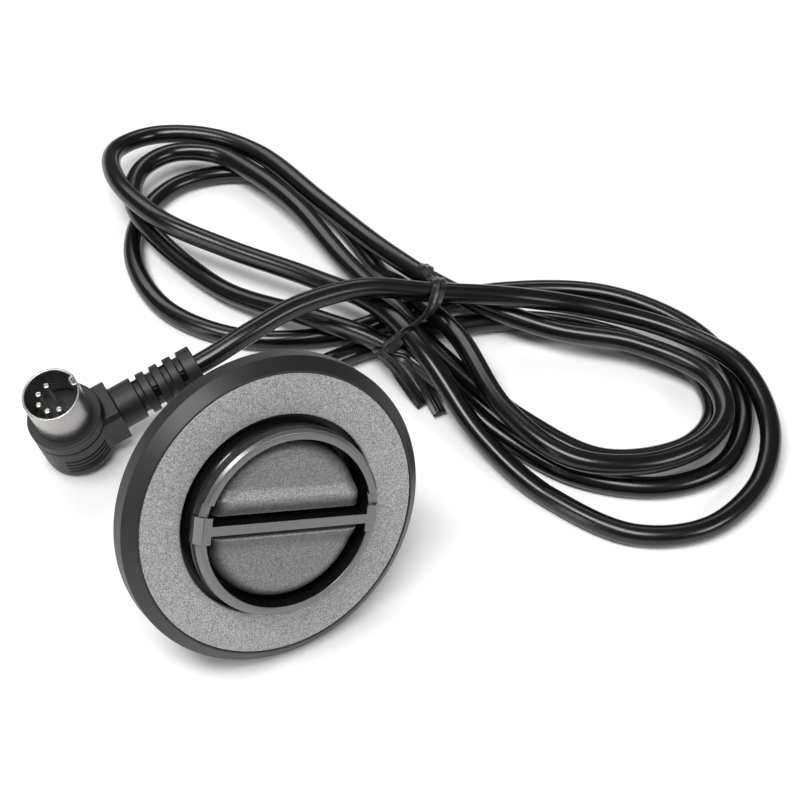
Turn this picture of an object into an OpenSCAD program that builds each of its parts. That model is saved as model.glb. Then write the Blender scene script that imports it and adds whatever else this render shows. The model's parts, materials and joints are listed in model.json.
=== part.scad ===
// Round two-button hand control with a panel flange, a free cord and a
// right-angle five-pin plug. Millimetres, +Z up, standing on z = 0.

/* [Flange] */
// Outside diameter of the flange
flange_d = 67; // [64:0.5:70]
// Height of the flange's straight side wall
rim_h = 3.9; // [3:0.1:5]
// Height of the bevel above the side wall
bevel_h = 2.5; // [1.5:0.1:3]
// Width of the bevel, measured along the radius
bevel_w = 2.7; // [2:0.1:4]
// Diameter of the opening in the flange
opening_d = 43.6; // [43:0.1:45]
// Thickness of the inlaid face ring
face_t = 1.2; // [0.8:0.1:1.6]
// How far the panel leans back from upright
lean = 21.9; // [15:0.1:30]
// How far the button bar is turned in the panel
roll = 21.4; // [0:0.1:45]

/* [Collar and buttons] */
// Outside diameter of the collar at its top
collar_d = 40.8; // [40:0.1:41]
// Inside diameter of the collar
collar_bore = 36.6; // [36:0.1:37.5]
// Height of the collar's top above the side wall
collar_top = 7.9; // [7:0.1:9]
// Diameter of the pair of buttons
button_d = 34.2; // [33:0.1:34.6]
// Height of the buttons' tops above the side wall
button_top = 7; // [6.5:0.1:7.4]
// How far a button travels
travel = 1.5; // [1:0.1:1.6]
// Width of the bar between the buttons
bar_w = 2.1; // [1.6:0.1:2.6]
// Gap between the bar and each button
bar_gap = 1.15; // [0.4:0.05:1.4]
// Distance of each button's stem from the bar's middle
stem_y = 8.2; // [8:0.1:8.6]
// Diameter of the stems
stem_d = 4; // [3.6:0.1:4.2]

/* [Housing] */
// Outside diameter of the barrel that goes through a panel
skirt_d = 45.2; // [45:0.1:46]
// Depth of the barrel behind the side wall's top
skirt_depth = 8; // [7:0.1:9]
// Outside diameter of the rear housing
cup_d = 40.8; // [40.4:0.1:41]
// Depth of the rear housing behind the side wall's top
cup_depth = 23; // [22.5:0.1:24]
// Wall of the rear housing
cup_wall = 1.8; // [1.5:0.1:2]

/* [Cord and plug] */
// Diameter of the cord
cord_d = 5; // [4.8:0.1:5]
// Outside diameter of the plug's metal shell
shell_d = 13.2; // [13.2:0.1:13.3]
// Length of the shell that stands out of the hood
shell_len = 10.5; // [9:0.1:11]
// Diameter of the hood's barrel
hood_d = 17.2; // [16:0.1:18]
// Length of the hood's barrel
hood_len = 15.6; // [15:0.1:17]
// Height of the neck's axis in the hood
neck_z = 6.7; // [6.5:0.1:8.5]
// Diameter of the neck
neck_d = 10.2; // [9.5:0.1:10.5]
// Diameter of the circle of pins
pin_circle = 7; // [7:0.1:7]

/* [Hidden] */
$fn = 96;
eps = 0.01;

// The panel's middle, at the top of the side wall
axis_y = -9.8;
axis_z = (flange_d / 2) * cos(lean) + rim_h * sin(lean);

flange_r = flange_d / 2;
face_r = flange_r - bevel_w;
opening_r = opening_d / 2;
face_floor = bevel_h - face_t;
lip_top = -0.5;
lip_low = -2;
lip_r = 17.6;
skirt_r = skirt_d / 2;
cup_r = cup_d / 2;
cup_bore = cup_r - cup_wall;
channel_r = [skirt_r + 1.6, flange_r - 2.2];
rib_n = 12;

collar_r = collar_d / 2;
collar_in = collar_bore / 2;
collar_foot_r = collar_r + 0.2;
trim_base = 6.4;
block_x = [17.4, 20.7];
block_h = 2.9;
block_chamfer = 1.7;
block_low = 4.5;
notch_y = 5.8;

button_r = button_d / 2;
button_low = 1.5;
button_fillet = 2.2;
button_wall = 1.4;
chord_y = bar_w / 2 + bar_gap;
stem_r = stem_d / 2;
stem_low = -6;
ceiling_z = 5;

plate_r = cup_bore - 0.2;
plate_low = -4.2;
boss_r = 4.2;
boss_top = -1;
board_x = 12.5;
board_z = [-16.1, -14.5];
board_r = 17;
post_y = 15.3;
post_low = -19;
switch_z = [board_z[1], -8];
switch_size = [12.8, 5.8];
lead_x = [-5.08, 0, 5.08];

gland_xy = [8, -5];
gland_end = -38;
spring_r = 3;
spring_wire_r = 0.3;
spring_turns = 5;

// The cord's middle line, from the gland to the plug
cord_r = cord_d / 2;
route = [
    // out of the gland and down behind the panel
    [8, 7, 20.4], [8, 24, 13.55], [11, 33, 9], [20, 41, 4.5], [42, 46, 3],
    // under the tie and round the innermost right loop
    [76, 40.5, 3.4], [98, 30, 2.5], [113, 11.5, 2.5], [118.5, -4, 2.5],
    [113.5, -16.5, 2.5], [101.5, -21.5, 3], [82.5, -15, 4], [73, 3, 5.2],
    [67, 29.5, 7], [65, 48.5, 9.2],
    // round the middle left loop
    [64, 70.5, 8], [64, 96, 8], [61, 112.5, 8], [56, 125, 8], [46, 131.5, 8],
    [35.5, 129, 8], [28, 116, 8], [34, 83, 4], [47, 56, 8.5], [55.5, 41, 9],
    // round the second right loop
    [61.3, 26, 7.8], [66.8, 5.5, 3], [75, -15, 2.5], [89.5, -28, 2.5],
    [104.5, -30.5, 2.5], [117.5, -23, 2.5], [126, -9.5, 2.5], [127, 9, 2.5],
    [117, 29.5, 2.5], [98.5, 43, 2.5], [76.5, 50, 3.4],
    // round the lowest left loop
    [51, 53.5, 3], [31, 65, 2.5], [20, 83.5, 2.5], [21, 104, 2.5],
    [30.5, 118.5, 2.5], [45, 125, 2.5], [62.5, 119, 2.5], [72.5, 99, 2.5],
    [72.5, 68, 2.6], [71, 50, 9.2],
    // round the right loop that lies on the first one
    [71.5, 30, 11.5], [68, 4, 11], [73, -15, 10], [87.5, -24.5, 8.5],
    [102.5, -26, 8], [112.5, -21, 8], [116.5, -9.5, 8], [108.5, 8, 8],
    [94, 23.5, 7.8], [80.5, 46, 8.8],
    // round the longest left loop
    [74.5, 66, 8.8], [70.5, 92.5, 8], [66, 119, 8], [57.5, 133, 8], [45, 141, 8],
    [33, 138, 10], [27, 124.5, 12.8], [29, 104, 13.5], [39, 86.5, 12],
    [51.5, 66, 12], [59.5, 46, 14],
    // round the widest right loop
    [60.5, 27, 13.5], [61.2, 5.5, 6.3], [65.5, -15.5, 2.5], [75.5, -35.5, 2.5],
    [91, -43, 2.5], [109, -39, 2.5], [120.5, -28.5, 5.4], [124.5, -12.5, 9],
    [119, 7, 8], [104, 23.5, 10], [87, 33, 14.5],
    // over the tie and down to the plug
    [71, 41.5, 17], [56.5, 48.5, 20], [40, 51, 20.6], [26, 50.5, 19],
    [16.1, 50.4, 16.6], [-8.2, 52.3, 10.8]
];

// The tie's band goes round the eight passes of the cord in this plane
tie_at = [67.5, 47.5];
tie_turn = 35.6;
tie_w = 3.6;
tie_t = 0.8;
tie_passes = [[5.9, 3.4], [-7.6, 3.4], [-13.3, 9], [12.4, 8.5], [-9.2, 14], [-4.5, 18.6]];
tie_tail_a = [[56.3, 38, 12.5], [56.5, 33, 10.5], [56.8, 27, 6.5], [57.8, 22, 3], [59, 17.5, 1.4]];
tie_tail_b = [[54.6, 37.3, 8.6], [54.3, 35, 7.6], [54.6, 31, 6], [54.8, 26.5, 3.4], [56, 22.5, 1.2]];

// The plug stands on its rounded base and leans towards the panel's left
plug_at = [-17.2, 54.3];
plug_lean = [10.8, -13.5, -4.5];
base_round = 3;
plug_tilt = acos(cos(plug_lean[0]) * cos(plug_lean[1]));
plug_z = base_round + (hood_d / 2 - base_round) * sin(plug_tilt) - base_round * cos(plug_tilt);
shell_r = shell_d / 2;
shell_t = 0.7;
shell_root = 4;
shell_root_r = shell_r - 0.3;
shoulder = hood_len + 0.2;
insert_z = [5, 17];
pin_r = 0.725;
key_w = 2.2;
key_depth = 1.2;
block_end = 11.2;
block_half = 5.4;
neck_end = 16.8;
ring_gap = 1.5;
ring_pitch = 3.55;
ring_r = 5;
boot_core_r = 4;
boot_end = 32.2;
collar_len = 3.3;

// ---- placing ----

module stand() {
    translate([0, axis_y, axis_z]) rotate([90 - lean, 0, 0]) children();
}

module panel() {
    stand() rotate([0, 0, -roll]) children();
}

module gland_place() {
    stand() translate([gland_xy[0], gland_xy[1], 0]) children();
}

module plug_place() {
    translate([plug_at[0], plug_at[1], plug_z]) rotate(plug_lean) children();
}

// ---- shared shapes ----

module tube(r_out, r_in, low, high) {
    translate([0, 0, low]) difference() {
        cylinder(r = r_out, h = high - low);
        translate([0, 0, -1]) cylinder(r = r_in, h = high - low + 2);
    }
}

module rod(r, low, high) {
    translate([0, 0, low]) cylinder(r = r, h = high - low);
}

module slab(x, y, z) {
    translate([x[0], y[0], z[0]]) cube([x[1] - x[0], y[1] - y[0], z[1] - z[0]]);
}

function unit(v) = v / norm(v);
function heading(p, i) = unit(p[min(i + 1, len(p) - 1)] - p[max(i - 1, 0)]);
function sideways(t) = unit(cross(t, [0, 0, 1]));
function section_at(p, i, outline) =
    let (t = heading(p, i), s = sideways(t), u = cross(s, t))
    [for (q = outline) p[i] + q[0] * s + q[1] * u];

// One closed solid swept along the points p with the outline given
module sweep(p, outline) {
    m = len(outline);
    n = len(p);
    rings = [for (i = [0:n - 1]) each section_at(p, i, outline)];
    sides = [for (i = [0:n - 2], j = [0:m - 1])
        [i * m + j, i * m + (j + 1) % m, (i + 1) * m + (j + 1) % m, (i + 1) * m + j]];
    start = [for (j = [m - 1:-1:0]) j];
    end = [for (j = [0:m - 1]) (n - 1) * m + j];
    polyhedron(points = rings, faces = concat([start, end], sides), convexity = 10);
}

function round_outline(r, sides) = [for (j = [0:sides - 1]) r * [cos(360 * j / sides), sin(360 * j / sides)]];
function flat_outline(w, t) = [[w, -t] / 2, [w, t] / 2, [-w, t] / 2, [-w, -t] / 2];

// ---- the panel ----

module bezel() {
    color("dimgray") panel() difference() {
        rotate_extrude() polygon([
            [lip_r, lip_low], [cup_r + 0.2, lip_low], [cup_r + 0.2, -skirt_depth],
            [skirt_r, -skirt_depth], [skirt_r, -rim_h], [flange_r, -rim_h],
            [flange_r, 0], [face_r, bevel_h], [face_r - 0.2, bevel_h],
            [face_r - 0.2, face_floor], [opening_r, face_floor],
            [opening_r, lip_top], [lip_r, lip_top]
        ]);
        difference() {
            tube(channel_r[1], channel_r[0], -rim_h - 1, face_floor - 1.8);
            for (i = [0:rib_n - 1]) rotate([0, 0, i * 360 / rib_n])
                translate([channel_r[0] - 1, -0.6, -rim_h - 2]) cube([12, 1.2, 8]);
        }
    }
}

module face_ring() {
    color("silver") panel() tube(face_r - 0.25, opening_r, face_floor, bevel_h);
}

module collar_ring() {
    color("black") panel() difference() {
        rotate_extrude() polygon([
            [collar_in, lip_top], [collar_foot_r, lip_top], [collar_foot_r, 4.8],
            [collar_r, 5.2], [collar_r, trim_base], [collar_in, trim_base]
        ]);
        slab([-30, 30], [-block_h, block_h], [block_low, 20]);
    }
}

module upper_trim() {
    color("gray") panel() intersection() {
        rotate_extrude() polygon([
            [collar_in, trim_base], [collar_r, trim_base], [collar_r, collar_top - 0.5],
            [collar_r - 0.5, collar_top], [collar_in + 0.2, collar_top],
            [collar_in, collar_top - 0.2]
        ]);
        slab([-30, 30], [notch_y, 30], [0, 20]);
    }
}

module lower_trim() {
    color("gray") panel() intersection() {
        rotate_extrude() polygon([
            [collar_in, trim_base], [collar_r, trim_base], [collar_r, trim_base + 0.3],
            [collar_r - 0.9, collar_top - 0.4], [collar_in + 0.2, collar_top - 0.4],
            [collar_in, collar_top - 0.6]
        ]);
        slab([-30, 30], [-30, -block_h - 0.4], [0, 20]);
    }
}

module centre_bar() {
    color("gray") panel() {
        slab([-block_x[0] - eps, block_x[0] + eps], [-bar_w / 2, bar_w / 2], [0.8, collar_top]);
        for (s = [0, 180]) rotate([0, 0, s])
            rotate([90, 0, 0]) linear_extrude(2 * block_h, center = true) polygon([
                [block_x[0], block_low], [block_x[1], block_low],
                [block_x[1], collar_top - block_chamfer],
                [block_x[1] - block_chamfer, collar_top], [block_x[0], collar_top]
            ]);
    }
}

// ---- the buttons ----

module button(slope_low) {
    difference() {
        intersection() {
            rotate_extrude() union() {
                polygon([
                    [0, button_low], [button_r, button_low],
                    [button_r, button_top - button_fillet],
                    [button_r - button_fillet, button_top], [0, button_top]
                ]);
                translate([button_r - button_fillet, button_top - button_fillet])
                    circle(r = button_fillet);
            }
            slab([-30, 30], [chord_y, 30], [0, 20]);
        }
        translate([0, chord_y, slope_low]) rotate([atan((button_top - slope_low) / 3), 0, 0])
            translate([-30, -10, 0]) cube([60, 13.4, 10]);
        intersection() {
            rod(button_r - button_wall, button_low - 1, ceiling_z);
            slab([-30, 30], [chord_y + button_wall, 30], [0, 20]);
        }
    }
    translate([0, stem_y, 0]) {
        rod(stem_r, stem_low + 1.5, ceiling_z + eps);
        translate([0, 0, stem_low]) cylinder(r1 = stem_r - 0.3, r2 = stem_r + 0.4, h = 1.5);
    }
}

module upper_button() {
    color("darkgray") panel() button(button_top - 0.8);
}

module lower_button() {
    color("darkgray") panel() rotate([0, 0, 180]) button(button_top - 0.4);
}

function coil_point(a) = [spring_r * cos(a), spring_r * sin(a),
    boss_top + spring_wire_r + (ceiling_z - boss_top - 2 * spring_wire_r) * a / (360 * spring_turns)];

module coil() {
    steps = 16 * spring_turns;
    path = [for (i = [0:steps]) coil_point(i * 360 * spring_turns / steps)];
    translate([0, stem_y, 0]) sweep(path, round_outline(spring_wire_r, 6));
}

module upper_spring() {
    color("silver") panel() coil();
}

module lower_spring() {
    color("silver") panel() rotate([0, 0, 180]) coil();
}

module plunger() {
    slab([-0.6, 0.6], [stem_y - 1.4, stem_y + 1.4], [stem_low - 4, stem_low]);
}

module upper_plunger() {
    color("white") panel() plunger();
}

module lower_plunger() {
    color("white") panel() rotate([0, 0, 180]) plunger();
}

// ---- inside the housing ----

module guide_plate() {
    color("black") panel() difference() {
        union() {
            rod(plate_r, plate_low, lip_low);
            for (s = [-1, 1]) {
                translate([0, s * stem_y, 0]) rod(boss_r, lip_low - eps, boss_top);
                translate([s * board_x, 0, 0]) rod(2.4, board_z[1], plate_low + eps);
                translate([0, s * post_y, 0]) rod(2.4, post_low, plate_low + eps);
            }
        }
        for (s = [-1, 1]) {
            translate([0, s * stem_y, 0]) rod(stem_r + 0.05, plate_low - 1, boss_top + 1);
            translate([s * board_x, 0, 0]) rod(0.9, board_z[1] - 1, board_z[1] + 6);
            translate([0, s * post_y, 0]) rod(1.1, post_low - 1, post_low + 8);
        }
    }
}

module switch_body() {
    half = switch_size / 2;
    translate([0, stem_y, 0]) difference() {
        slab([-half[0], half[0]], [-half[1], half[1]], switch_z);
        slab([-0.7, 0.7], [-1.5, 1.5], [stem_low - 4 - travel - 0.2, 0]);
        for (x = [-1, 1]) translate([x * 3.25, -5, switch_z[0] + 2]) rotate([-90, 0, 0])
            cylinder(r = 1, h = 10);
    }
}

module upper_switch() {
    color("black") panel() switch_body();
}

module lower_switch() {
    color("black") panel() rotate([0, 0, 180]) switch_body();
}

module switch_terminals() {
    color("silver") panel() for (s = [0, 180]) rotate([0, 0, s])
        for (x = lead_x) translate([x, stem_y, 0])
            slab([-0.4, 0.4], [-0.25, 0.25], [board_z[0] - 1.6, switch_z[0]]);
}

module circuit_board() {
    color("darkgreen") panel() difference() {
        rod(board_r, board_z[0], board_z[1]);
        for (s = [-1, 1]) {
            translate([0, s * post_y, 0]) rod(2.8, board_z[0] - 1, board_z[1] + 1);
            translate([s * board_x, 0, 0]) rod(1.2, board_z[0] - 1, board_z[1] + 1);
            for (x = lead_x) translate([x, s * stem_y, 0])
                rod(0.6, board_z[0] - 1, board_z[1] + 1);
        }
    }
}

// A pan-head screw with its head's face at z = 0 and its shank pointing up
module screw(head_r, head_h, shank_r, shank_len) {
    difference() {
        union() {
            cylinder(r1 = head_r - 0.4, r2 = head_r, h = 0.4);
            rod(head_r, 0.4, head_h);
            rod(shank_r, head_h - eps, head_h + shank_len);
        }
        for (a = [0, 90]) rotate([0, 0, a]) slab([-1.2, 1.2], [-0.25, 0.25], [-1, head_h * 0.6]);
    }
}

module board_screws() {
    color("silver") panel() for (s = [-1, 1])
        translate([s * board_x, 0, board_z[0] - 1.4]) screw(2, 1.4, 0.85, 7);
}

module rear_housing() {
    color("black") panel() difference() {
        union() {
            difference() {
                rotate_extrude() polygon([
                    [0, -cup_depth], [cup_r - 1, -cup_depth], [cup_r, 1 - cup_depth],
                    [cup_r, lip_low], [0, lip_low]
                ]);
                rod(cup_bore, 2 - cup_depth, 0);
            }
            for (s = [-1, 1]) translate([0, s * post_y, 0]) rod(2.8, 1 - cup_depth, post_low);
        }
        for (s = [-1, 1]) translate([0, s * post_y, 0]) {
            rod(1.4, -cup_depth - 1, post_low + 1);
            rod(2.5, -cup_depth - 1, 1.5 - cup_depth);
        }
        rotate([0, 0, roll]) translate([gland_xy[0], gland_xy[1], 0])
            rod(3.7, -cup_depth - 1, 3 - cup_depth);
    }
}

module housing_screws() {
    color("silver") panel() for (s = [-1, 1])
        translate([0, s * post_y, 0.1 - cup_depth]) screw(2.3, 1.4, 1.05, 8);
}

module clip() {
    linear_extrude(height = 6, center = true) polygon([
        [cup_r, -19.5], [cup_r + 0.5, -19.5], [cup_r + 0.5, -17], [24.2, -12],
        [22.9, -9.4], [22.3, -9.5], [23.6, -12], [cup_r, -16.6]
    ]);
}

module panel_clips() {
    color("silver") panel() for (a = [0, 180]) rotate([90, 0, a]) clip();
}

module cord_gland() {
    floor_in = 2 - cup_depth;
    color("black") gland_place() difference() {
        rotate_extrude() polygon([
            [cord_r, floor_in + 1.4], [5, floor_in + 1.4], [5, floor_in], [3.6, floor_in],
            [3.6, -cup_depth], [4.6, -cup_depth], [3.4, gland_end], [cord_r, gland_end]
        ]);
        for (i = [0:3]) tube(6, 3.6 - 0.15 * i, -cup_depth - 3.4 - 3 * i, -cup_depth - 2.4 - 3 * i);
    }
}

// One insulated wire from the cord's end to its pad on the board
function wire_path(i) = let (a = 198 - 72 * i, pad = [gland_xy[0] - 16 + 3 * i, gland_xy[1] - 1.5]) [
    [gland_xy[0] + 1.2 * cos(a), gland_xy[1] + 1.2 * sin(a), -20.2],
    [gland_xy[0] + 1.4 * cos(a), gland_xy[1] + 1.4 * sin(a), -19.2],
    [(gland_xy[0] + pad[0]) / 2 + 2, gland_xy[1] - 2 + 1.4 * i, -18.2],
    [pad[0] + 0.5, pad[1], -17.6],
    [pad[0], pad[1] - 0.3, board_z[0] - 0.6]
];

module lead_wires() {
    color("firebrick") stand() for (i = [0:4]) sweep(wire_path(i), round_outline(0.5, 6));
}

// ---- the cord, its tie and its plug ----

module cord() {
    color("#202022") sweep(route, round_outline(cord_r, 10));
}

module tie_passes_hull(r) {
    hull() for (p = tie_passes) translate(p) circle(r = r, $fn = 32);
}

module twist_tie() {
    color("#1c1c1e") {
        translate([tie_at[0], tie_at[1], 0]) rotate([90, 0, tie_turn])
            linear_extrude(height = tie_w, center = true) difference() {
                tie_passes_hull(cord_r + tie_t);
                tie_passes_hull(cord_r);
            }
        sweep(tie_tail_a, flat_outline(tie_w, tie_t));
        sweep(tie_tail_b, flat_outline(tie_w, tie_t));
    }
}

module key_slot(w, depth, low, high) {
    slab([shell_r - depth, shell_r + 1], [-w / 2, w / 2], [low, high]);
}

module plug_shell() {
    low = hood_len - shell_root;
    high = hood_len + shell_len;
    color("gainsboro") plug_place() {
        difference() {
            union() {
                tube(shell_r, shell_r - shell_t, shoulder, high);
                tube(shell_root_r, shell_r - shell_t, low, shoulder + eps);
            }
            key_slot(key_w, key_depth, low - 1, high + 1);
        }
        difference() {
            key_slot(key_w + 2 * shell_t - 0.2, key_depth + shell_t, low, high);
            key_slot(key_w, key_depth, low - 1, high + 1);
            tube(shell_r + 3, shell_root_r - 0.1, low - 1, shoulder);
            tube(shell_r + 3, shell_r - 0.1, low - 1, high + 1);
        }
    }
}

module plug_insert() {
    color("black") plug_place() difference() {
        rod(shell_r - shell_t - 0.05, insert_z[0], insert_z[1]);
        key_slot(key_w + 1.4, key_depth + shell_t + 0.3, 0, 40);
        for (a = [90:45:270]) rotate([0, 0, a]) translate([pin_circle / 2, 0, 0])
            rod(pin_r, 0, 40);
    }
}

module plug_pins() {
    color("gainsboro") plug_place() for (a = [90:45:270]) rotate([0, 0, a])
        translate([pin_circle / 2, 0, 0]) {
            rod(pin_r, insert_z[0] - 1.5, hood_len + shell_len - 2);
            translate([0, 0, hood_len + shell_len - 2]) cylinder(r1 = pin_r, r2 = 0.3, h = 0.6);
        }
}

module plug_hood() {
    color("#29292b") plug_place() difference() {
        union() {
            rotate_extrude() difference() {
                union() {
                    translate([0, base_round]) square([hood_d / 2, hood_len - base_round]);
                    square([hood_d / 2 - base_round, base_round + 1]);
                    translate([hood_d / 2 - base_round, base_round]) circle(r = base_round);
                }
                translate([-10, -10]) square([10, 50]);
                translate([hood_d / 2 - 0.35, hood_len - 3.6]) square([1, 0.5]);
            }
            intersection() {
                slab([4, block_end], [-block_half, block_half], [0.7, 12.8]);
                translate([0, 0, neck_z]) rotate([45, 0, 0])
                    slab([0, 20], [-7.4, 7.4], [-7.4, 7.4]);
            }
            translate([0, 0, neck_z]) rotate([0, 90, 0]) rod(neck_d / 2, 4, neck_end);
        }
        rod(shell_root_r, hood_len - shell_root, hood_len + 1);
        rod(shell_r - shell_t, insert_z[0] - 2.5, hood_len);
        translate([0, 0, neck_z]) rotate([0, 90, 0]) rod(cord_r, 0, 40);
        for (i = [0:3]) intersection() {
            tube(hood_d, hood_d / 2 - 0.4, 3.6 + 1.5 * i, 4.2 + 1.5 * i);
            slab([-5, 5.5], [-20, 20], [-1, 30]);
        }
    }
}

module plug_boot() {
    color("#29292b") plug_place() translate([0, 0, neck_z]) rotate([0, 90, 0]) difference() {
        union() {
            rod(boot_core_r, neck_end, boot_end);
            for (i = [0:2]) translate([0, 0, neck_end + ring_pitch * i])
                rod(ring_r, ring_gap, ring_pitch);
            rod(ring_r, boot_end - collar_len, boot_end);
        }
        rod(cord_r, neck_end - 1, boot_end + 1);
        for (i = [0:3]) translate([0, 0, neck_end + ring_pitch * i])
            rotate([0, 0, 90 * (i % 2) + 45]) slab([-1.3, 1.3], [-8, 8], [0.1, ring_gap - 0.1]);
    }
}

bezel();
face_ring();
collar_ring();
upper_trim();
lower_trim();
centre_bar();
upper_button();
lower_button();
upper_spring();
lower_spring();
upper_plunger();
lower_plunger();
guide_plate();
upper_switch();
lower_switch();
switch_terminals();
circuit_board();
board_screws();
rear_housing();
housing_screws();
panel_clips();
cord_gland();
lead_wires();
cord();
twist_tie();
plug_shell();
plug_insert();
plug_pins();
plug_hood();
plug_boot();
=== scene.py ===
# %% [markdown]
# # A round two-button hand control on its cord
# The control sits in a hole in the side of a powered chair. Two half-round keys
# run the chair up and down, a lead carries the signal, and a right-angle plug
# joins it to the motor. The shapes that fit and move come from the CAD model.
# This lesson makes what the eye sees: rounded mouldings, lacquer, soft PVC.
#
# The CAD model is loaded first. Its joints say which way the keys move, and so
# which way the panel faces. Reading that from the frame, not typing it again,
# keeps the two models in step.

# %% Bring in the CAD model
import json
from math import acos, cos, hypot, pi, radians, sin, sqrt, tan

import bmesh
import bpy
from mathutils import Matrix, Vector

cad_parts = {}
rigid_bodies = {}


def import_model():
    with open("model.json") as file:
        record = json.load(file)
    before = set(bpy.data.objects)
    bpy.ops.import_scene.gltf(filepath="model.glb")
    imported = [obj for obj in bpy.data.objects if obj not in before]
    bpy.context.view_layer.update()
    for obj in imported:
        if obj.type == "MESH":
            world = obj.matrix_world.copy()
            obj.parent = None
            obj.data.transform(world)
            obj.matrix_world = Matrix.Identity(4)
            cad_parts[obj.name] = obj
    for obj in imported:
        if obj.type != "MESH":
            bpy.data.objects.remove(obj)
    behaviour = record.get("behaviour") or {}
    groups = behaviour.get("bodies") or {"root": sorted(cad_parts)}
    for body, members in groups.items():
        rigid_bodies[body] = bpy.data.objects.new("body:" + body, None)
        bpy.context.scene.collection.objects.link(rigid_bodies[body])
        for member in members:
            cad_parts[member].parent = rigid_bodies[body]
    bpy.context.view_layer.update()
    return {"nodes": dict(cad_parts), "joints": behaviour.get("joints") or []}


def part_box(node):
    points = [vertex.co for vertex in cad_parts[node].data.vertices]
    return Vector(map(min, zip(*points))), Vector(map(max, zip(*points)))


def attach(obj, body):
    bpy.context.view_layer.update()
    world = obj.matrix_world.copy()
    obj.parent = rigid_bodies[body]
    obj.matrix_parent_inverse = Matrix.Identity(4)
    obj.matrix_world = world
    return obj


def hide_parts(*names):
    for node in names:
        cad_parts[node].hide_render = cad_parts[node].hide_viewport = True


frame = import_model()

# %% [markdown]
# The panel leans back. Everything on it is easier to draw flat, in its own
# millimetres, with z pointing out of the face, and to place with one matrix.
# `STAND` does that from the keys' direction and the face ring's middle.
# `PANEL` also turns the drawing by the angle of the bar between the keys.

# %% Where the panel and the plug are
MM = 0.001
FACING = -Vector(frame["joints"][0]["axis"]).normalized()
LEAN = acos(-FACING.y)
ROLL = radians(21.4)
RING_MIDDLE = 1.9  # height of the face ring's middle above the side wall, mm
ring_low, ring_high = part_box("face_ring")
panel_middle = (ring_low + ring_high) / 2 - FACING * RING_MIDDLE * MM
SCALE = Matrix.Scale(MM, 4)
STAND = Matrix.Translation(panel_middle) @ Matrix.Rotation(pi / 2 - LEAN, 4, "X") @ SCALE
PANEL = STAND @ Matrix.Rotation(-ROLL, 4, "Z")
PLUG_AT = Vector((-17.2, 54.3, 1.793)) * MM
PLUG_LEAN = [radians(a) for a in (10.8, -13.5, -4.5)]
PLUG = (
    Matrix.Translation(PLUG_AT)
    @ Matrix.Rotation(PLUG_LEAN[2], 4, "Z")
    @ Matrix.Rotation(PLUG_LEAN[1], 4, "Y")
    @ Matrix.Rotation(PLUG_LEAN[0], 4, "X")
    @ SCALE
)
print("panel middle", panel_middle, "lean", round(LEAN * 180 / pi, 2))

# %% [markdown]
# ## The camera
# A long lens from 40 cm keeps the round flange close to a true ellipse, as a
# catalogue picture does.

# %% Camera
CAMERA_AT = Vector((-105.7, -228.5, 324.8)) * MM
CAMERA_LOOKS = Vector((0.3604, 0.5790, -0.7313))
camera_data = bpy.data.cameras.new("camera")
camera_data.lens = 83.1
camera_data.sensor_width = 36
camera_data.clip_start = 0.01
camera = bpy.data.objects.new("camera", camera_data)
camera.location = CAMERA_AT
camera.rotation_mode = "QUATERNION"
camera.rotation_quaternion = CAMERA_LOOKS.to_track_quat("-Z", "Y")
bpy.context.scene.collection.objects.link(camera)
bpy.context.scene.camera = camera
print("camera", round(CAMERA_AT.length * 1000), "mm from the origin")

# %% [markdown]
# ## Colour and nodes
# A hex colour is how the eye names a tone, but a shader works in linear light,
# so one function turns one into the other. Another adds a node with its
# settings and links, and every material below is written with it.

# %% Helpers for materials
def linear(hex_code):
    parts = [int(hex_code[i:i + 2], 16) / 255 for i in (1, 3, 5)]
    return [c / 12.92 if c <= 0.04045 else ((c + 0.055) / 1.055) ** 2.4 for c in parts] + [1]


def add(tree, kind, inputs={}, **settings):
    made = tree.nodes.new(kind)
    for name, value in settings.items():
        setattr(made, name, value)
    for socket, value in inputs.items():
        if isinstance(value, bpy.types.NodeSocket):
            tree.links.new(value, made.inputs[socket])
        else:
            made.inputs[socket].default_value = value
    return made


def new_material(name, **sockets):
    made = bpy.data.materials.new(name)
    made.use_nodes = True
    made.node_tree.nodes.clear()
    shader = add(made.node_tree, "ShaderNodeBsdfPrincipled")
    for socket, value in sockets.items():
        shader.inputs[socket.replace("_", " ")].default_value = value
    add(made.node_tree, "ShaderNodeOutputMaterial", {"Surface": shader.outputs["BSDF"]})
    place = add(made.node_tree, "ShaderNodeTexCoord").outputs["Object"]
    return made, made.node_tree, shader, place


def per_metre(size_mm):
    return 1000 / size_mm


# %% [markdown]
# Most of these surfaces are mouldings: plastic pressed against a steel tool.
# The tool leaves a faint grain, the flow leaves slow changes of gloss, and
# handling rubs both. One function adds those two scales to any shader, so that
# each material below only says how coarse and how strong they are on it.

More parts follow.
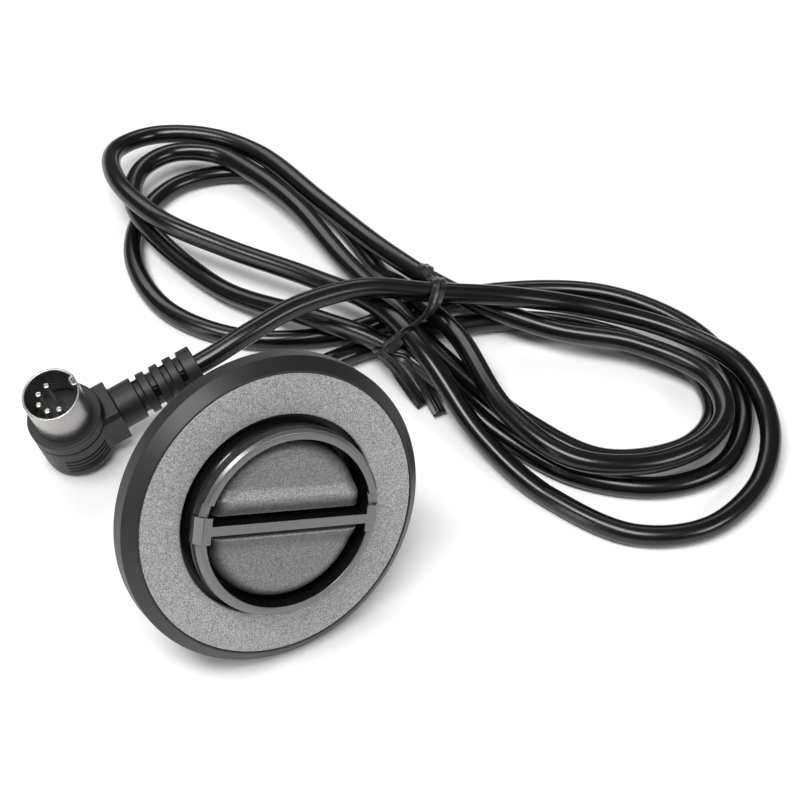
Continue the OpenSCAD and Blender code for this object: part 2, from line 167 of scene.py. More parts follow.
# %% Grain and slow change of gloss
def surface(tree, shader, place, grain_mm, depth, gloss, tones, drift_mm=9):
    grain = add(tree, "ShaderNodeTexNoise", {
        "Vector": place, "Scale": per_metre(grain_mm), "Detail": 3.0, "Roughness": 0.6})
    drift = add(tree, "ShaderNodeTexNoise", {
        "Vector": place, "Scale": per_metre(drift_mm), "Detail": 4.0, "Roughness": 0.55})
    bump = add(tree, "ShaderNodeBump", {
        "Height": grain.outputs["Fac"], "Strength": depth, "Distance": 0.0001})
    tree.links.new(bump.outputs["Normal"], shader.inputs["Normal"])
    rough = add(tree, "ShaderNodeMapRange", {
        "Value": drift.outputs["Fac"], "From Min": 0.3, "From Max": 0.7,
        "To Min": gloss[0], "To Max": gloss[1]})
    tree.links.new(rough.outputs["Result"], shader.inputs["Roughness"])
    ramp = add(tree, "ShaderNodeValToRGB", {"Fac": grain.outputs["Fac"]})
    ramp.color_ramp.elements[0].position = 0.35
    ramp.color_ramp.elements[1].position = 0.65
    for element, tone in zip(ramp.color_ramp.elements, tones):
        element.color = linear(tone)
    tree.links.new(ramp.outputs["Color"], shader.inputs["Base Color"])
    return grain, ramp, bump


# %% [markdown]
# ## The cord
# The lead is five fine wires in a soft black PVC sleeve 5 mm thick, extruded
# hot through a ring die. It is 1.6 m long and folded for shipping into three
# loops to the left and four to the right, held at the waist by a tie. A rope
# simulation would give loops of its own choosing, so the route is a list of
# places, and one smooth curve is drawn through it. The curve is centripetal: it doesn't swing wide
# where two points are close, so each bend stays as gentle as laid.

# %% The cord's route
CORD_R = 2.5
ROUTE = [
    # out of the housing, down behind the flange and under the tie
    (8, 7, 20.4), (8, 24, 13.55), (11, 33, 9), (20, 41, 4.5), (42, 46, 3),
    (76, 40.5, 3.4), (98, 30, 2.5), (113, 11.5, 2.5), (118.5, -4, 2.5),
    (113.5, -16.5, 2.5), (101.5, -21.5, 3), (82.5, -15, 4), (73, 3, 5.2),
    (67, 29.5, 7), (65, 48.5, 9.2),
    # round the middle left loop
    (64, 70.5, 8), (64, 96, 8), (61, 112.5, 8), (56, 125, 8), (46, 131.5, 8),
    (35.5, 129, 8), (28, 116, 8), (34, 83, 4), (47, 56, 8.5), (55.5, 41, 9),
    # round the second right loop
    (61.3, 26, 7.8), (66.8, 5.5, 3), (75, -15, 2.5), (89.5, -28, 2.5),
    (104.5, -30.5, 2.5), (117.5, -23, 2.5), (126, -9.5, 2.5), (127, 9, 2.5),
    (117, 29.5, 2.5), (98.5, 43, 2.5), (76.5, 50, 3.4),
    # round the lowest left loop
    (51, 53.5, 3), (31, 65, 2.5), (20, 83.5, 2.5), (21, 104, 2.5),
    (30.5, 118.5, 2.5), (45, 125, 2.5), (62.5, 119, 2.5), (72.5, 99, 2.5),
    (72.5, 68, 2.6), (71, 50, 9.2),
    # round the right loop that lies on the first one
    (71.5, 30, 11.5), (68, 4, 11), (73, -15, 10), (87.5, -24.5, 8.5),
    (102.5, -26, 8), (112.5, -21, 8), (116.5, -9.5, 8), (108.5, 8, 8),
    (94, 23.5, 7.8), (80.5, 46, 8.8),
    # round the longest left loop
    (74.5, 66, 8.8), (70.5, 92.5, 8), (66, 119, 8), (57.5, 133, 8), (45, 141, 8),
    (33, 138, 10), (27, 124.5, 12.8), (29, 104, 13.5), (39, 86.5, 12),
    (51.5, 66, 12), (59.5, 46, 14),
    # round the widest right loop
    (60.5, 27, 13.5), (61.2, 5.5, 6.3), (65.5, -15.5, 2.5), (75.5, -35.5, 2.5),
    (91, -43, 2.5), (109, -39, 2.5), (120.5, -28.5, 5.4), (124.5, -12.5, 9),
    (119, 7, 8), (104, 23.5, 10), (87, 33, 14.5),
    # over the tie and down to the plug
    (71, 41.5, 17), (56.5, 48.5, 20), (40, 51, 20.6), (26, 50.5, 19),
    (16.1, 50.4, 16.6), (-8.2, 52.3, 10.8),
]


def through(points, steps, closed=False):
    """A smooth centripetal curve through the points, with so many steps between two."""
    points = [Vector(p) for p in points]
    if closed:
        points = [points[-1]] + points + points[:2]
    else:
        points = [2 * points[0] - points[1]] + points + [2 * points[-1] - points[-2]]
    line = []
    for a, b, c, d in zip(points, points[1:], points[2:], points[3:]):
        t1 = sqrt((b - a).length)
        t2 = t1 + sqrt((c - b).length)
        t3 = t2 + sqrt((d - c).length)
        for i in range(steps):
            t = t1 + (t2 - t1) * i / steps
            p = a.lerp(b, t / t1)
            q = b.lerp(c, (t - t1) / (t2 - t1))
            r = c.lerp(d, (t - t2) / (t3 - t2))
            p = p.lerp(q, t / t2)
            q = q.lerp(r, (t - t1) / (t3 - t1))
            line.append(p.lerp(q, (t - t1) / (t2 - t1)))
    return line if closed else line + [points[-2]]


CORD_STEPS = 16  # steps between two places on the route
cord_line = through(ROUTE, CORD_STEPS)
for point in cord_line:
    point.z = max(point.z, CORD_R)  # the smooth curve mustn't dip into the floor

# %% The cord's PVC
cord_pvc, tree, shader, place = new_material(
    "extruded_black_pvc", IOR=1.53)
surface(tree, shader, place, 0.6, 0.05, (0.20, 0.28), ("#050505", "#080809"), 14)

# %% The cord as one curve
cord_data = bpy.data.curves.new("cord_lead", "CURVE")
cord_data.dimensions = "3D"
cord_data.bevel_depth = CORD_R * MM
cord_data.bevel_resolution = 6
cord_data.use_fill_caps = True
spline = cord_data.splines.new("POLY")
spline.points.add(len(cord_line) - 1)
for knot, point in zip(spline.points, cord_line):
    knot.co = (*(point * MM), 1)
spline.use_smooth = True
cord = bpy.data.objects.new("cord_lead", cord_data)
bpy.context.scene.collection.objects.link(cord)
cord_data.materials.append(cord_pvc)
print("cord made,", CORD_R * 2, "mm thick")

# %% [markdown]
# ## Turning, sweeping and rounding
# A moulding never has a sharp edge: the tool's corner is rounded so that the
# plastic fills it, and that small radius is what catches the light. So each
# outline below is a list of corners with a radius, and `rounded` turns it into
# points. `sweep` carries such an outline along any line, so it turns a ring,
# bends a strap and draws a lead with the same few lines of code.

# %% Helpers for shapes
def rounded(corners, steps=5):
    """A closed outline with an arc at each corner (x, y, radius)."""
    outline = []
    for i, (x, y, radius) in enumerate(corners):
        here = Vector((x, y))
        before = Vector(corners[i - 1][:2]) - here
        after = Vector(corners[(i + 1) % len(corners)][:2]) - here
        if radius == 0 or before.length == 0 or after.length == 0:
            outline.append(here)
            continue
        half = before.angle(after) / 2
        reach = min(radius / tan(half), 0.45 * before.length, 0.45 * after.length)
        start = here + before.normalized() * reach
        end = here + after.normalized() * reach
        centre = here + (before.normalized() + after.normalized()).normalized() * reach / cos(half)
        for k in range(steps + 1):
            spoke = (start - centre).lerp(end - centre, k / steps)
            outline.append(centre + spoke.normalized() * (start - centre).length)
    return outline


def sweep(points, outwards, outline, closed=True):
    """Carries the outline, (along the side, outwards), along the points."""
    mesh = bmesh.new()
    n = len(points)
    rings = []
    for i, (point, out) in enumerate(zip(points, outwards)):
        if closed:
            ahead = points[(i + 1) % n] - points[i - 1]
        else:
            ahead = points[min(i + 1, n - 1)] - points[max(i - 1, 0)]
        side = out.cross(ahead).normalized()
        rings.append([mesh.verts.new(point + side * a + out * b) for a, b in outline])
    m = len(outline)
    for i in range(n if closed else n - 1):
        a, b = rings[i], rings[(i + 1) % n]
        for j in range(m):
            mesh.faces.new((a[j], a[(j + 1) % m], b[(j + 1) % m], b[j]))
    if not closed:
        mesh.faces.new(rings[0])
        mesh.faces.new(list(reversed(rings[-1])))
    return mesh


def turned(corners, start=0, end=360, steps=5, around=192):
    """A ring or an arc of one: corners are (radius, height, fillet)."""
    outline = [(z, r - 1) for r, z in rounded(corners, steps)]
    whole = end - start == 360
    count = max(8, round(around * (end - start) / 360))
    angles = [radians(start + (end - start) * i / count) for i in range(count + (not whole))]
    spokes = [Vector((cos(a), sin(a), 0)) for a in angles]
    return sweep(spokes, spokes, outline, whole)


def prism(outline, low, high):
    mesh = bmesh.new()
    foot = [mesh.verts.new((x, y, low)) for x, y in outline]
    head = [mesh.verts.new((x, y, high)) for x, y in outline]
    mesh.faces.new(foot)
    mesh.faces.new(head)
    for i in range(len(outline)):
        mesh.faces.new((foot[i - 1], foot[i], head[i], head[i - 1]))
    return mesh


def join(first, *others):
    for other in others:
        data = bpy.data.meshes.new("part")
        other.to_mesh(data)
        first.from_mesh(data)
        bpy.data.meshes.remove(data)
        other.free()
    return first


def piece(name, mesh, matrix, look, nodes,
          body="housing", edge=0.0, painted_shade_walls=None, flats=True):
    """Puts a drawn shape in place, as a piece that stands for CAD nodes."""
    bmesh.ops.remove_doubles(mesh, verts=mesh.verts, dist=1e-5)
    bmesh.ops.recalc_face_normals(mesh, faces=mesh.faces)
    for face in mesh.faces:
        face.smooth = True
        # Painted shade: every face turned away from the panel's face gets the second, black
        # material.
        face.material_index = 1 if painted_shade_walls and face.normal.z < 0.3 else 0
    mesh.transform(matrix)
    data = bpy.data.meshes.new(name)
    mesh.to_mesh(data)
    mesh.free()
    data.materials.append(look)
    if painted_shade_walls:
        data.materials.append(painted_shade_walls)
    made = bpy.data.objects.new(name, data)
    bpy.context.scene.collection.objects.link(made)
    if edge:
        bevel = made.modifiers.new("edge", "BEVEL")
        bevel.width = edge * MM
        bevel.segments = 3
        bevel.angle_limit = radians(40)
    if flats:
        made.modifiers.new("flats", "WEIGHTED_NORMAL").keep_sharp = False
    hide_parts(*nodes)
    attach(made, body)
    print(name, len(data.polygons), "faces")
    return made


# %% [markdown]
# ## The flange
# The flange is moulded ABS, dark grey, from a tool with a fine spark-eroded
# grain, so it is satin: highlights spread but keep an edge. It is one lathe
# profile, with ribs behind that keep the moulding thin and flat.

# %% Satin ABS
satin_abs, tree, shader, place = new_material("satin_moulded_abs", IOR=1.54)
surface(tree, shader, place, 0.35, 0.16, (0.42, 0.50), ("#0f0f10", "#131314"))

# %% The flange
flange = turned([
    (17.6, -0.5, 0.3), (21.8, -0.5, 0.1), (21.8, 1.3, 0.1), (30.6, 1.3, 0.05),
    (30.6, 2.5, 0.1), (30.95, 2.5, 0.25), (33.5, 0.1, 0.3), (33.5, -3.9, 0.4),
    (31.3, -3.9, 0.3), (31.3, -0.5, 0.3), (24.2, -0.5, 0.3), (24.2, -3.9, 0.3),
    (22.6, -3.9, 0.1), (22.6, -8, 0.5), (20.6, -8, 0.3), (20.6, -2, 0.2), (17.6, -2, 0.2),
], around=288)
for i in range(12):
    rib = prism([(24, -0.6), (31.5, -0.6), (31.5, 0.6), (24, 0.6)], -3.6, -0.4)
    rib.transform(Matrix.Rotation(i * pi / 6, 4, "Z"))
    join(flange, rib)
piece("flange", flange, PANEL, satin_abs, ["bezel"])

# %% [markdown]
# ## The silver lacquer
# The face ring and the keys are ABS sprayed with a silver-grey lacquer. Its
# aluminium flakes lie at all angles, so it looks like fine sand: light and dark
# specks up to a fifth of a millimetre across, drawn a little coarser than real
# flakes so that they show. The flakes are metal under clear binder, which gives
# a soft broad highlight. On the keys each point carries a `shade` of painted
# light: painted shade on the strip of each key next to the bar and along the round
# edge that the collar shades, and painted highlight on the upper key's band past
# its ridge and on the lower key's straight edge.

# %% Flake lacquer
def flake_lacquer(name, tones, metal, gloss, sparkle, painted_shade_and_highlight=False):
    made, tree, shader, place = new_material(name, Metallic=metal, IOR=1.5)
    grain, ramp, bump = surface(tree, shader, place, 0.13, sparkle, gloss, tones)
    grain.inputs["Detail"].default_value = 1.5
    flakes = add(tree, "ShaderNodeTexVoronoi", {"Vector": place, "Scale": per_metre(0.2)})
    lift = add(tree, "ShaderNodeMapRange", {
        "Value": flakes.outputs["Color"], "From Min": 0.1, "From Max": 0.9,
        "To Min": 0.3, "To Max": 0.7})
    both = add(tree, "ShaderNodeMix", {
        "Factor": 0.45, 2: grain.outputs["Fac"], 3: lift.outputs["Result"]})
    tree.links.new(both.outputs[0], ramp.inputs["Fac"])
    tree.links.new(both.outputs[0], bump.inputs["Height"])
    # Painted light: the colour is scaled by each point's `shade`, darker where it is positive
    # (painted shade) and lighter where it is negative (painted highlight).
    if painted_shade_and_highlight:
        shade = add(tree, "ShaderNodeAttribute", attribute_name="shade")
        gain = add(tree, "ShaderNodeMapRange", {
            "Value": shade.outputs["Fac"], "From Min": -1.0, "From Max": 1.0,
            "To Min": 1.7, "To Max": 0.3})
        painted_light_colour = add(tree, "ShaderNodeVectorMath", {
            0: ramp.outputs["Color"], "Scale": gain.outputs["Result"]}, operation="SCALE")
        tree.links.new(painted_light_colour.outputs["Vector"], shader.inputs["Base Color"])
    return made


silver_lacquer = flake_lacquer(
    "silver_flake_lacquer_on_abs", ("#4a4a4a", "#c8c8c8"), 0.25, (0.42, 0.52), 0.25)
# The keys' lacquer carries painted shade and painted highlight from `shade`.
key_lacquer = flake_lacquer(
    "grey_flake_lacquer_on_abs", ("#404041", "#989899"), 0.25, (0.40, 0.50), 0.2, painted_shade_and_highlight=True)
trim_lacquer = flake_lacquer(
    "smooth_grey_lacquer_on_abs", ("#6c6c6d", "#757576"), 0.6, (0.24, 0.30), 0.02)

# %% The face ring
face = turned([
    (21.8, 1.3, 0.05), (30.5, 1.3, 0.05), (30.5, 2.5, 0.15), (21.8, 2.5, 0.3),
], around=288)
piece("face_plate", face, PANEL, silver_lacquer, ["face_ring"])

# %% [markdown]
# ## The collar
# A gloss black ring stands up round the keys. Its polished wall shows the room
# as a dark mirror, with one step in it that draws a bright line. On top lie two
# arcs, and the bar between the keys ends in a block at each side. Their tops get
# the lacquer, and their walls get the gloss black as painted shade. The lacquer is
# sprayed from the front, so it covers their tops and leaves their walls black.

# %% Gloss ABS
gloss_abs, tree, shader, place = new_material(
    "polished_black_abs", IOR=1.54, Coat_Weight=0.3, Coat_Roughness=0.04)
surface(tree, shader, place, 0.8, 0.03, (0.12, 0.18), ("#0e0e10", "#131315"))

# %% The collar, its arcs and the bar
collar = turned([
    (18.3, -0.5, 0.1), (20.6, -0.5, 0.1), (20.6, 4.7, 0.15), (20.4, 5.0, 0.1),
    (20.4, 6.4, 0.05), (18.3, 6.4, 0.05),
])
piece("collar", collar, PANEL, gloss_abs, ["collar_ring"], flats=False)
UPPER_END = 17.2  # degrees above the bar where the upper arc starts
BLOCK_END = 8.4
upper_arc = turned([
    (18.3, 6.2, 0.1), (20.4, 6.2, 0.1), (20.4, 7.3, 0.3), (19.8, 7.9, 0.3), (18.3, 7.9, 0.2),
], UPPER_END, 180 - UPPER_END, around=480)
for start in (BLOCK_END - 0.5, 180 - UPPER_END - 0.5):
    step = turned([(18.3, 6.2, 0.1), (20.4, 6.2, 0.1), (20.4, 6.9, 0.2), (18.3, 6.9, 0.2)],
                  start, start + UPPER_END - BLOCK_END + 1)
    join(upper_arc, step)
piece("upper_arc", upper_arc, PANEL, trim_lacquer, ["upper_trim"],
      painted_shade_walls=gloss_abs, flats=False)
lower_arc = turned([
    (18.3, 6.2, 0.1), (20.4, 6.2, 0.1), (20.4, 6.6, 0.2), (19.5, 7.5, 0.3), (18.3, 7.5, 0.2),
], 180 + BLOCK_END, 360 - BLOCK_END, around=480)
piece("lower_arc", lower_arc, PANEL, trim_lacquer, ["lower_trim"],
      painted_shade_walls=gloss_abs, flats=False)

BAR_HALF = 1.05
BLOCK_HALF = 2.9
block_side = rounded([
    (17.4, 4.5, 0), (20.7, 4.5, 0.1), (20.7, 6.2, 0.35), (19.3, 7.9, 0.3), (17.4, 7.9, 0.15)])
bar = prism([
    (-17.6, -BAR_HALF), (17.6, -BAR_HALF), (17.6, BAR_HALF), (-17.6, BAR_HALF)], 0.8, 7.9)
for turn in (0, pi):
    block = prism(block_side, -BLOCK_HALF, BLOCK_HALF)
    block.transform(Matrix.Rotation(turn, 4, "Z") @ Matrix.Rotation(pi / 2, 4, "X"))
    join(bar, block)
piece("bar", bar, PANEL, trim_lacquer, ["centre_bar"],
      edge=0.2, painted_shade_walls=gloss_abs)

# %% [markdown]
# ## The keys
# Each key is half a disc with a soft round edge and a shape for the thumb to
# find in the dark: the upper one has a ridge and then falls to the bar, and the
# lower one curls up to it. Cutting that from a cylinder would take many tools.
# Instead rings of points shrink from the outline to the middle, and a formula
# gives each point its height, so the ridge and the edge flow into each other.
# Underneath, a key is hollow: its spring stands in it, round the stem.

# %% Key shape
KEY_R = 17.1
KEY_TOP = 7.05
CHORD = 2.2
ROUND_EDGE = 2.8
CHORD_EDGE = 0.4
CREST = 3.1  # distance of the upper key's ridge from its straight edge
KEY_HEART = (0, 7.5)  # every ring shrinks to this point
CORNER = 1.6
KEY_FOOT = 1.5  # height of the key's lower rim
KEY_CEILING = 5  # height of the hollow under the key
KEY_WALL = 1.4
STEM_AT = 8.2  # distance of the stem from the panel's middle


def drop(distance, radius):
    if distance >= radius:
        return 0
    return radius - sqrt(max(0, radius ** 2 - (radius - distance) ** 2))


def ease(x):
    x = min(1, max(0, x))
    return x * x * (3 - 2 * x)


# Painted light on the upper key, by distance from the bar: painted shade on the strip next to it,
# none on its very edge, and a painted highlight on the band past the ridge.
def upper_shade(from_chord):
    band = ease((from_chord - CREST + 0.4) / 0.8) * ease((CREST + 3.2 - from_chord) / 2)
    return 0.6 * ease(1.3 - from_chord / CREST) * (from_chord > CHORD_EDGE) - 0.45 * band


# Painted light on the lower key: painted shade on the strip next to the bar, and a painted
# highlight on its very edge.
def lower_shade(from_chord):
    return 0.55 * ease(1.2 - from_chord / 4) - 0.9 * (from_chord < CHORD_EDGE)


def upper_thumb(from_chord):
    if from_chord < CREST:
        return -1.0 * ease(1 - from_chord / CREST)
    return -0.95 * ease((from_chord - CREST) / 2.6)


def lower_thumb(from_chord):
    return -1.0 * ease(from_chord / 3.6)


def key_edge(angle, inset):
    """Where a spoke from the heart meets the outline moved in by (arc, chord)."""
    ux, uy = cos(angle), sin(angle)
    hx, hy = KEY_HEART
    along = hx * ux + hy * uy
    to_arc = -along + sqrt(along ** 2 + (KEY_R - inset[0]) ** 2 - hy ** 2)
    to_chord = (CHORD + inset[1] - hy) / uy if uy < -0.01 else 1000
    blend = min(1, max(0, 0.5 + 0.5 * (to_chord - to_arc) / CORNER))
    reach = to_chord + (to_arc - to_chord) * blend - CORNER * blend * (1 - blend)
    return hx + ux * reach, hy + uy * reach


def key(thumb, shade, around=320, edge_steps=8, rings=60):
    mesh = bmesh.new()
    shades = mesh.verts.layers.float.new("shade")

    def ring(inset, shrink=0.0, height=None):
        row = []
        for i in range(around):
            x, y = key_edge(2 * pi * i / around, inset)
            x += (KEY_HEART[0] - x) * shrink
            y += (KEY_HEART[1] - y) * shrink
            fall = max(drop(KEY_R - hypot(x, y), ROUND_EDGE), drop(y - CHORD, CHORD_EDGE))
            z = KEY_TOP + thumb(y - CHORD) - fall if height is None else height
            row.append(mesh.verts.new((x, y, z)))
            # Each point's `shade` also adds painted shade along the round edge, where the collar
            # rim shades the key.
            row[-1][shades] = shade(y - CHORD) + 0.6 * ease(1 - (KEY_R - hypot(x, y) - 0.6) / 2.6)
        return row

    wall = (KEY_WALL, KEY_WALL)
    rows = [ring(wall, height=KEY_CEILING), ring(wall, height=KEY_FOOT),
            ring((0, 0), height=KEY_FOOT)]
    for k in range(edge_steps + 1):
        give = 1 - cos(pi / 2 * k / edge_steps)
        rows.append(ring((ROUND_EDGE * give, CHORD_EDGE * give)))
    for k in range(1, rings):
        rows.append(ring((ROUND_EDGE, CHORD_EDGE), k / rings))
    for a, b in zip(rows, rows[1:]):
        for i in range(around):
            mesh.faces.new((a[i - 1], a[i], b[i], b[i - 1]))
    heart = mesh.verts.new((*KEY_HEART, KEY_TOP + thumb(KEY_HEART[1] - CHORD)))
    for i in range(around):
        mesh.faces.new((rows[-1][i - 1], rows[-1][i], heart))
    mesh.faces.new(rows[0])
    return mesh


def stem():
    return turned([
        (0, -6, 0), (1.7, -6, 0.2), (2.4, -4.6, 0.2), (2, -4.5, 0.1),
        (2, KEY_CEILING, 0), (0, KEY_CEILING, 0),
    ], around=48)


# %% The two keys
for name, thumb, shade, turn in (("upper", upper_thumb, upper_shade, 0),
                                 ("lower", lower_thumb, lower_shade, pi)):
    shaft = stem()
    shaft.transform(Matrix.Translation((0, STEM_AT, 0)))
    shape = join(key(thumb, shade), shaft)
    shape.transform(Matrix.Rotation(turn, 4, "Z"))
    node = name + "_button"
    piece(name + "_key", shape, PANEL, key_lacquer, [node], body=node)

# %% [markdown]
# ## The plug
# The plug's hood and its bend relief are soft PVC moulded over the wires, and
# such a moulding has no crisp edge anywhere. The CAD solids hold all its real
# features, so copies of them are remeshed in small cubes and smoothed, which
# melts every edge by a few tenths of a millimetre, as the moulding does.

# %% Moulded PVC
hood_pvc, tree, shader, place = new_material("overmoulded_pvc", IOR=1.52)
surface(tree, shader, place, 0.4, 0.15, (0.46, 0.56), ("#050506", "#080809"))


def melted(name, node, cube_mm, passes, look):
    mesh = bmesh.new()
    mesh.from_mesh(frame["nodes"][node].data)
    made = piece(name, mesh, Matrix.Identity(4), look, [node])
    made.modifiers.clear()
    remesh = made.modifiers.new("cubes", "REMESH")
    remesh.mode = "VOXEL"
    remesh.voxel_size = cube_mm * MM
    remesh.use_smooth_shade = True
    soften = made.modifiers.new("melt", "SMOOTH")
    soften.factor = 0.5
    soften.iterations = passes


melted("hood", "plug_hood", 0.18, 4, hood_pvc)
melted("bend_relief", "plug_boot", 0.15, 2, hood_pvc)

# %% [markdown]
# The shell is a strip of steel rolled to a tube, with a key folded inwards, and
# nickel plated. It is a thin outline swept round its own line, so the folded
# key has the same sheet thickness as the rest, and its rim is rounded like a
# cut edge that plating has softened.

# %% Nickel plate
nickel, tree, shader, place = new_material("nickel_plated_steel", Metallic=1.0)
surface(tree, shader, place, 0.5, 0.03, (0.26, 0.34), ("#a9a7a3", "#b8b6b2"), 6)

# %% The shell
SHEET = 0.6
SHELL_MID = 6.6 - SHEET / 2
KEY_TURN = radians(4)
shell_path = rounded(
    [(SHELL_MID * cos(a), SHELL_MID * sin(a), 0.4 if i in (0, 120) else 0)
     for i, a in enumerate(radians(10.5 + 339 * k / 120) for k in range(121))]
    + [(5.2, -0.95, 0.4), (5.2, 0.95, 0.4)])
n = len(shell_path)
shell_out = [Vector((shell_path[(i + 1) % n].y - shell_path[i - 1].y,
                     shell_path[i - 1].x - shell_path[(i + 1) % n].x, 0)).normalized()
             for i in range(n)]
shell_section = [(z, d) for d, z in rounded([
    (-SHEET / 2, 12, 0), (SHEET / 2, 12, 0), (SHEET / 2, 26.1, 0.22), (-SHEET / 2, 26.1, 0.22)])]
shell = sweep([p.to_3d() for p in shell_path], shell_out, shell_section)
piece("shell", shell, PLUG @ Matrix.Rotation(KEY_TURN, 4, "Z"), nickel, ["plug_shell"])

# %% Contact pins with domed tips
PIN_CIRCLE_R = 3.5
PIN_STEP = 45  # degrees between two pins, over half the circle
pins = bmesh.new()
for k in range(5):
    pin = turned([(0, 4, 0), (0.72, 4, 0), (0.72, 24.7, 0.45), (0, 24.7, 0)], around=32)
    turn = Matrix.Rotation(radians(90 + PIN_STEP * k), 4, "Z")
    pin.transform(turn @ Matrix.Translation((PIN_CIRCLE_R, 0, 0)))
    join(pins, pin)
pin_plate, tree, shader, place = new_material("bright_tin_plate", Metallic=1.0)
surface(tree, shader, place, 0.4, 0.02, (0.2, 0.3), ("#e6e5e2", "#f0efec"), 5)
piece("pins", pins, PLUG, pin_plate, ["plug_pins"])

# %% [markdown]
# ## The bend relief at the housing
# Where the lead leaves the housing a tapered sleeve with grooves bends with it,
# stiff at the wall and soft at the tip. It is turned from one profile, whose
# grooves come from a loop.

# %% The sleeve
sleeve_corners = [(2.5, -19.6, 0.1), (5, -19.6, 0.2), (5, -21, 0.2), (3.6, -21, 0),
                  (3.6, -23, 0), (4.6, -23, 0.3)]
for i in range(4):
    top = -25.4 - 3 * i
    outer = 4.4 - 0.21 * i
    sleeve_corners += [(outer, top, 0.2), (outer - 0.9, top - 0.1, 0.15),
                       (outer - 0.95, top - 0.9, 0.15), (outer - 0.07, top - 1, 0.2)]
sleeve_corners += [(3.4, -38, 0.4), (2.55, -38, 0.1)]
sleeve = turned(sleeve_corners, around=96)
sleeve_at = STAND @ Matrix.Translation((8, -5, 0))
piece("sleeve", sleeve, sleeve_at, hood_pvc, ["cord_gland"])

# %% [markdown]
# ## The twist tie
# The tie is a flat strip of black PVC over a steel wire. The wire shows as a
# low ridge along its middle. It goes once round the bundle, turns on its edge
# where it was pulled tight, and its two ends are bent down. A strip is best
# swept: a flat outline with a ridge follows a line, and a second line says
# which way its face looks.

# %% Strip
tie_pvc, tree, shader, place = new_material("tie_strip_pvc", IOR=1.53)
surface(tree, shader, place, 0.5, 0.12, (0.30, 0.40), ("#08080a", "#0c0c0d"))
STRIP_W = 3.2
STRIP_T = 0.5
strip_outline = rounded([
    (-STRIP_W / 2, -STRIP_T / 2, 0.2), (STRIP_W / 2, -STRIP_T / 2, 0.2),
    (STRIP_W / 2, STRIP_T / 2, 0.2), (0.6, STRIP_T / 2, 0.3), (0, STRIP_T / 2 + 0.35, 0.4),
    (-0.6, STRIP_T / 2, 0.3), (-STRIP_W / 2, STRIP_T / 2, 0.2)], 3)
STRAP = [  # place, and which way the strip's face looks
    # the short end lies on the floor and goes up to the twist
    ((57.7, 23.6, 0.9), (-0.3, -0.2, 1)), ((56.7, 26.5, 3.2), (-0.5, -0.4, 1)),
    ((55.6, 29.3, 6.2), (-0.6, -0.5, 0.8)), ((54.6, 32, 8.8), (-1, -0.4, 0.4)),
    # round the left of the bundle and under it
    ((53.4, 35.6, 10), (-1, -0.5, 0.2)), ((53.6, 37.6, 8.6), (-0.9, -0.5, -0.1)),
    ((55.6, 39, 6.2), (-0.5, -0.35, -0.8)), ((60.6, 42.5, 1.3), (-0.4, -0.3, -0.9)),
    ((63, 44.2, 0.4), (0, 0, -1)), ((71.8, 50.5, 0.4), (0, 0, -1)),
    ((74.6, 52.6, 2.2), (0.5, 0.35, -0.8)), ((79, 55.8, 6.8), (0.8, 0.55, -0.3)),
    ((79.6, 56, 9.8), (0.8, 0.5, 0.5)), ((77.6, 54.4, 11.9), (0.1, 0.1, 1)),
    # up behind the top strand, over it and down in front
    ((76.2, 48.5, 13.2), (0.2, 0.7, 0.8)), ((74.6, 44.4, 17), (0.3, 0.9, 0.4)),
    ((73.6, 42, 19.3), (0.2, 0.4, 1)), ((72, 39.2, 19.8), (-0.1, -0.3, 1)),
    ((70, 37.4, 18.6), (-0.3, -0.8, 0.7)), ((67.6, 36.2, 17.3), (-0.1, -0.9, 0.1)),
    # here the strip is seen on its edge
    ((64.2, 35.2, 16.8), (0.55, -0.8, -0.35)), ((61.2, 34.4, 16.4), (0.7, -0.7, -0.2)),
    ((58.6, 33.9, 15.6), (0.3, -0.9, 0.4)), ((56.4, 34, 14), (-0.6, -0.5, 0.7)),
    # the twist, and the long end down to the floor
    ((54.6, 34.6, 12.2), (-0.9, -0.5, 0.5)), ((55.4, 33.8, 11), (-0.6, -0.6, 0.8)),
    ((57.6, 31.4, 10.6), (-0.2, -0.5, 1)), ((58.6, 28.4, 8.6), (-0.3, -0.5, 1)),
    ((59.2, 25.4, 5.8), (-0.3, -0.5, 1)), ((59.4, 22.2, 3), (-0.3, -0.4, 1)),
    ((59.4, 18.8, 1.2), (-0.2, -0.2, 1)),
]
STRAP_STEPS = 8
strap_line = through([place for place, face in STRAP], STRAP_STEPS)
strap_faces = []
for i in range(len(strap_line)):
    k = min(i // STRAP_STEPS, len(STRAP) - 2)
    before = Vector(STRAP[k][1]).normalized()
    after = Vector(STRAP[k + 1][1]).normalized()
    strap_faces.append(before.lerp(after, ease(i / STRAP_STEPS - k)).normalized())
tie = sweep(strap_line, strap_faces, strip_outline, False)
piece("tie", tie, SCALE, tie_pvc, ["twist_tie"])

# %% [markdown]
# ## Pieces that keep their CAD shape
# The parts behind the panel and inside the housing already have their real
# shape. Each gets the finish of what it is made of. The ones that show from
# behind also get softened edges, on a copy, because the CAD mesh stays as it is.

# %% Finishes of the inner parts
def finish(name, grain_mm, depth, gloss, tones, **sockets):
    made, tree, shader, place = new_material(name, **sockets)
    surface(tree, shader, place, grain_mm, depth, gloss, tones)
    return made


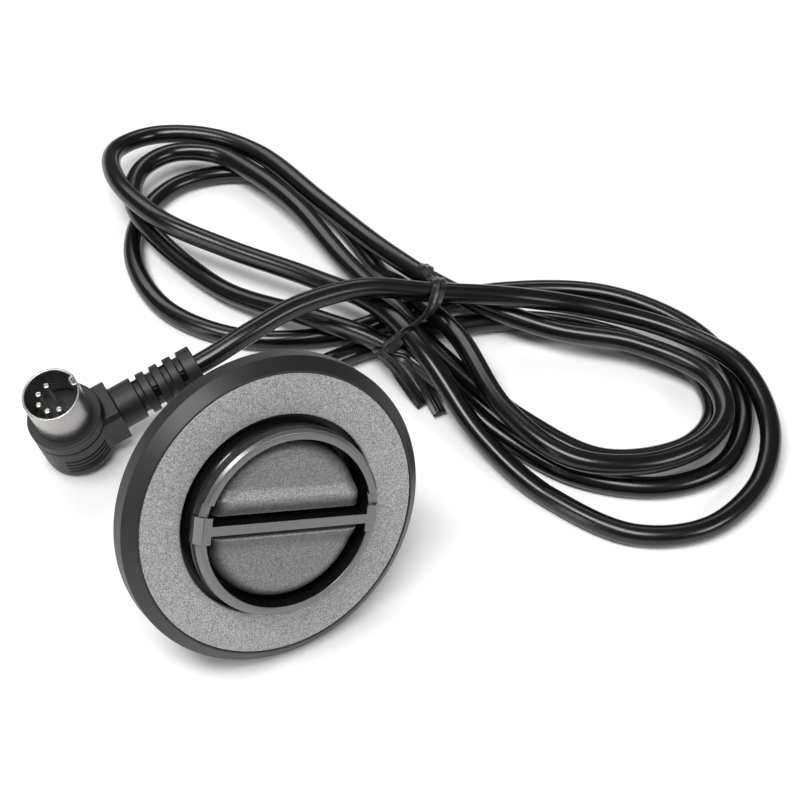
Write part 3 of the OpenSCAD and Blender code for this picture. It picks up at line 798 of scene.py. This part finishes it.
nylon = finish("black_moulded_nylon", 0.35, 0.2, (0.42, 0.52), ("#141416", "#1c1c1e"), IOR=1.53)
white_nylon = finish("natural_nylon", 0.5, 0.1, (0.35, 0.45), ("#d5d2c6", "#e4e1d6"), IOR=1.53)
spring_steel = finish(
    "blued_spring_steel", 0.3, 0.08, (0.25, 0.35), ("#8b8d90", "#9c9ea1"), Metallic=1.0)
zinc = finish("bright_zinc_plate", 0.3, 0.08, (0.25, 0.38), ("#b3b6bb", "#c4c7cb"), Metallic=1.0)
tin = finish("tinned_brass", 0.3, 0.05, (0.3, 0.4), ("#c2c0b8", "#d0cec7"), Metallic=1.0)
solder_mask = finish("green_solder_mask", 0.6, 0.06, (0.22, 0.32), ("#0d4a2a", "#125a34"), IOR=1.5)
wire_pvc = finish("red_wire_pvc", 0.5, 0.05, (0.3, 0.4), ("#7c1f1a", "#8e2a22"), IOR=1.53)
insert_plastic = finish("black_phenolic", 0.4, 0.08, (0.3, 0.4), ("#050505", "#080808"), IOR=1.55)

for look, nodes in {
    nylon: ["guide_plate", "upper_switch", "lower_switch"],
    white_nylon: ["upper_plunger", "lower_plunger"],
    spring_steel: ["upper_spring", "lower_spring"],
    tin: ["switch_terminals"],
    zinc: ["board_screws"],
    solder_mask: ["circuit_board"],
    wire_pvc: ["lead_wires"],
    insert_plastic: ["plug_insert"],
}.items():
    for node in nodes:
        data = frame["nodes"][node].data
        data.materials.clear()
        data.materials.append(look)


# %% The back of the housing, with softened edges
def softened(name, node, look, edge):
    mesh = bmesh.new()
    mesh.from_mesh(frame["nodes"][node].data)
    bmesh.ops.remove_doubles(mesh, verts=mesh.verts, dist=1e-6)
    bmesh.ops.dissolve_limit(mesh, angle_limit=radians(1), verts=mesh.verts, edges=mesh.edges)
    piece(name, mesh, Matrix.Identity(4), look, [node], edge=edge)


softened("back_cup", "rear_housing", nylon, 0.25)
softened("cup_screws", "housing_screws", zinc, 0.08)
softened("leaf_clips", "panel_clips", spring_steel, 0.08)

# %% [markdown]
# ## The cord's facts
# The cord stands for its CAD solid, and what is on it goes with it: the plug's
# pieces and the tie.

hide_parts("cord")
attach(cord, "housing")
on_cord = [bpy.data.objects[n] for n in ("hood", "bend_relief", "shell", "pins", "tie")]
on_cord.append(frame["nodes"]["plug_insert"])

# %% [markdown]
# ## Floor and light
# Black plastic shows its form only through what it reflects. The room is dim,
# and a large soft light above gives every round edge a bright line. A second
# one behind does the same for the far edges, and two weaker ones at the front
# right and at the left keep the sides from going black. The floor is a pale
# sheet that goes out of sight.

# %% Floor
floor_look, tree, shader, place = new_material("matt_white_paper")
surface(tree, shader, place, 0.5, 0.05, (0.75, 0.85), ("#fbfbfb", "#ffffff"), 60)
floor_mesh = prism([(-3, -3), (3, -3), (3, 3), (-3, 3)], -0.01, 0)
floor_data = bpy.data.meshes.new("floor")
floor_mesh.to_mesh(floor_data)
floor_mesh.free()
floor_data.materials.append(floor_look)
floor = bpy.data.objects.new("floor", floor_data)
bpy.context.scene.collection.objects.link(floor)

# %% Lights
ROOM_LIGHT = 0.15
world = bpy.data.worlds.new("studio")
world.use_nodes = True
world.node_tree.nodes["Background"].inputs["Color"].default_value = (1, 1, 1, 1)
world.node_tree.nodes["Background"].inputs["Strength"].default_value = ROOM_LIGHT
bpy.context.scene.world = world
bpy.context.scene.view_settings.view_transform = "Standard"


def softbox(name, at, to, size, watts):
    data = bpy.data.lights.new(name, "AREA")
    data.shape = "RECTANGLE"
    data.size, data.size_y = size
    data.energy = watts
    lamp = bpy.data.objects.new(name, data)
    lamp.location = at
    lamp.rotation_mode = "QUATERNION"
    lamp.rotation_quaternion = (Vector(to) - Vector(at)).to_track_quat("-Z", "Y")
    bpy.context.scene.collection.objects.link(lamp)


TARGET = (0.04, 0.03, 0.02)
softbox("key", (-0.3, -0.12, 0.98), TARGET, (0.8, 0.32), 10)
softbox("back", (0.15, 0.7, 0.75), TARGET, (1.0, 0.3), 3)
softbox("front", (0.38, -0.66, 0.52), TARGET, (0.4, 0.2), 2.2)
softbox("left", (-0.95, -0.1, 0.3), TARGET, (0.25, 0.6), 1.5)
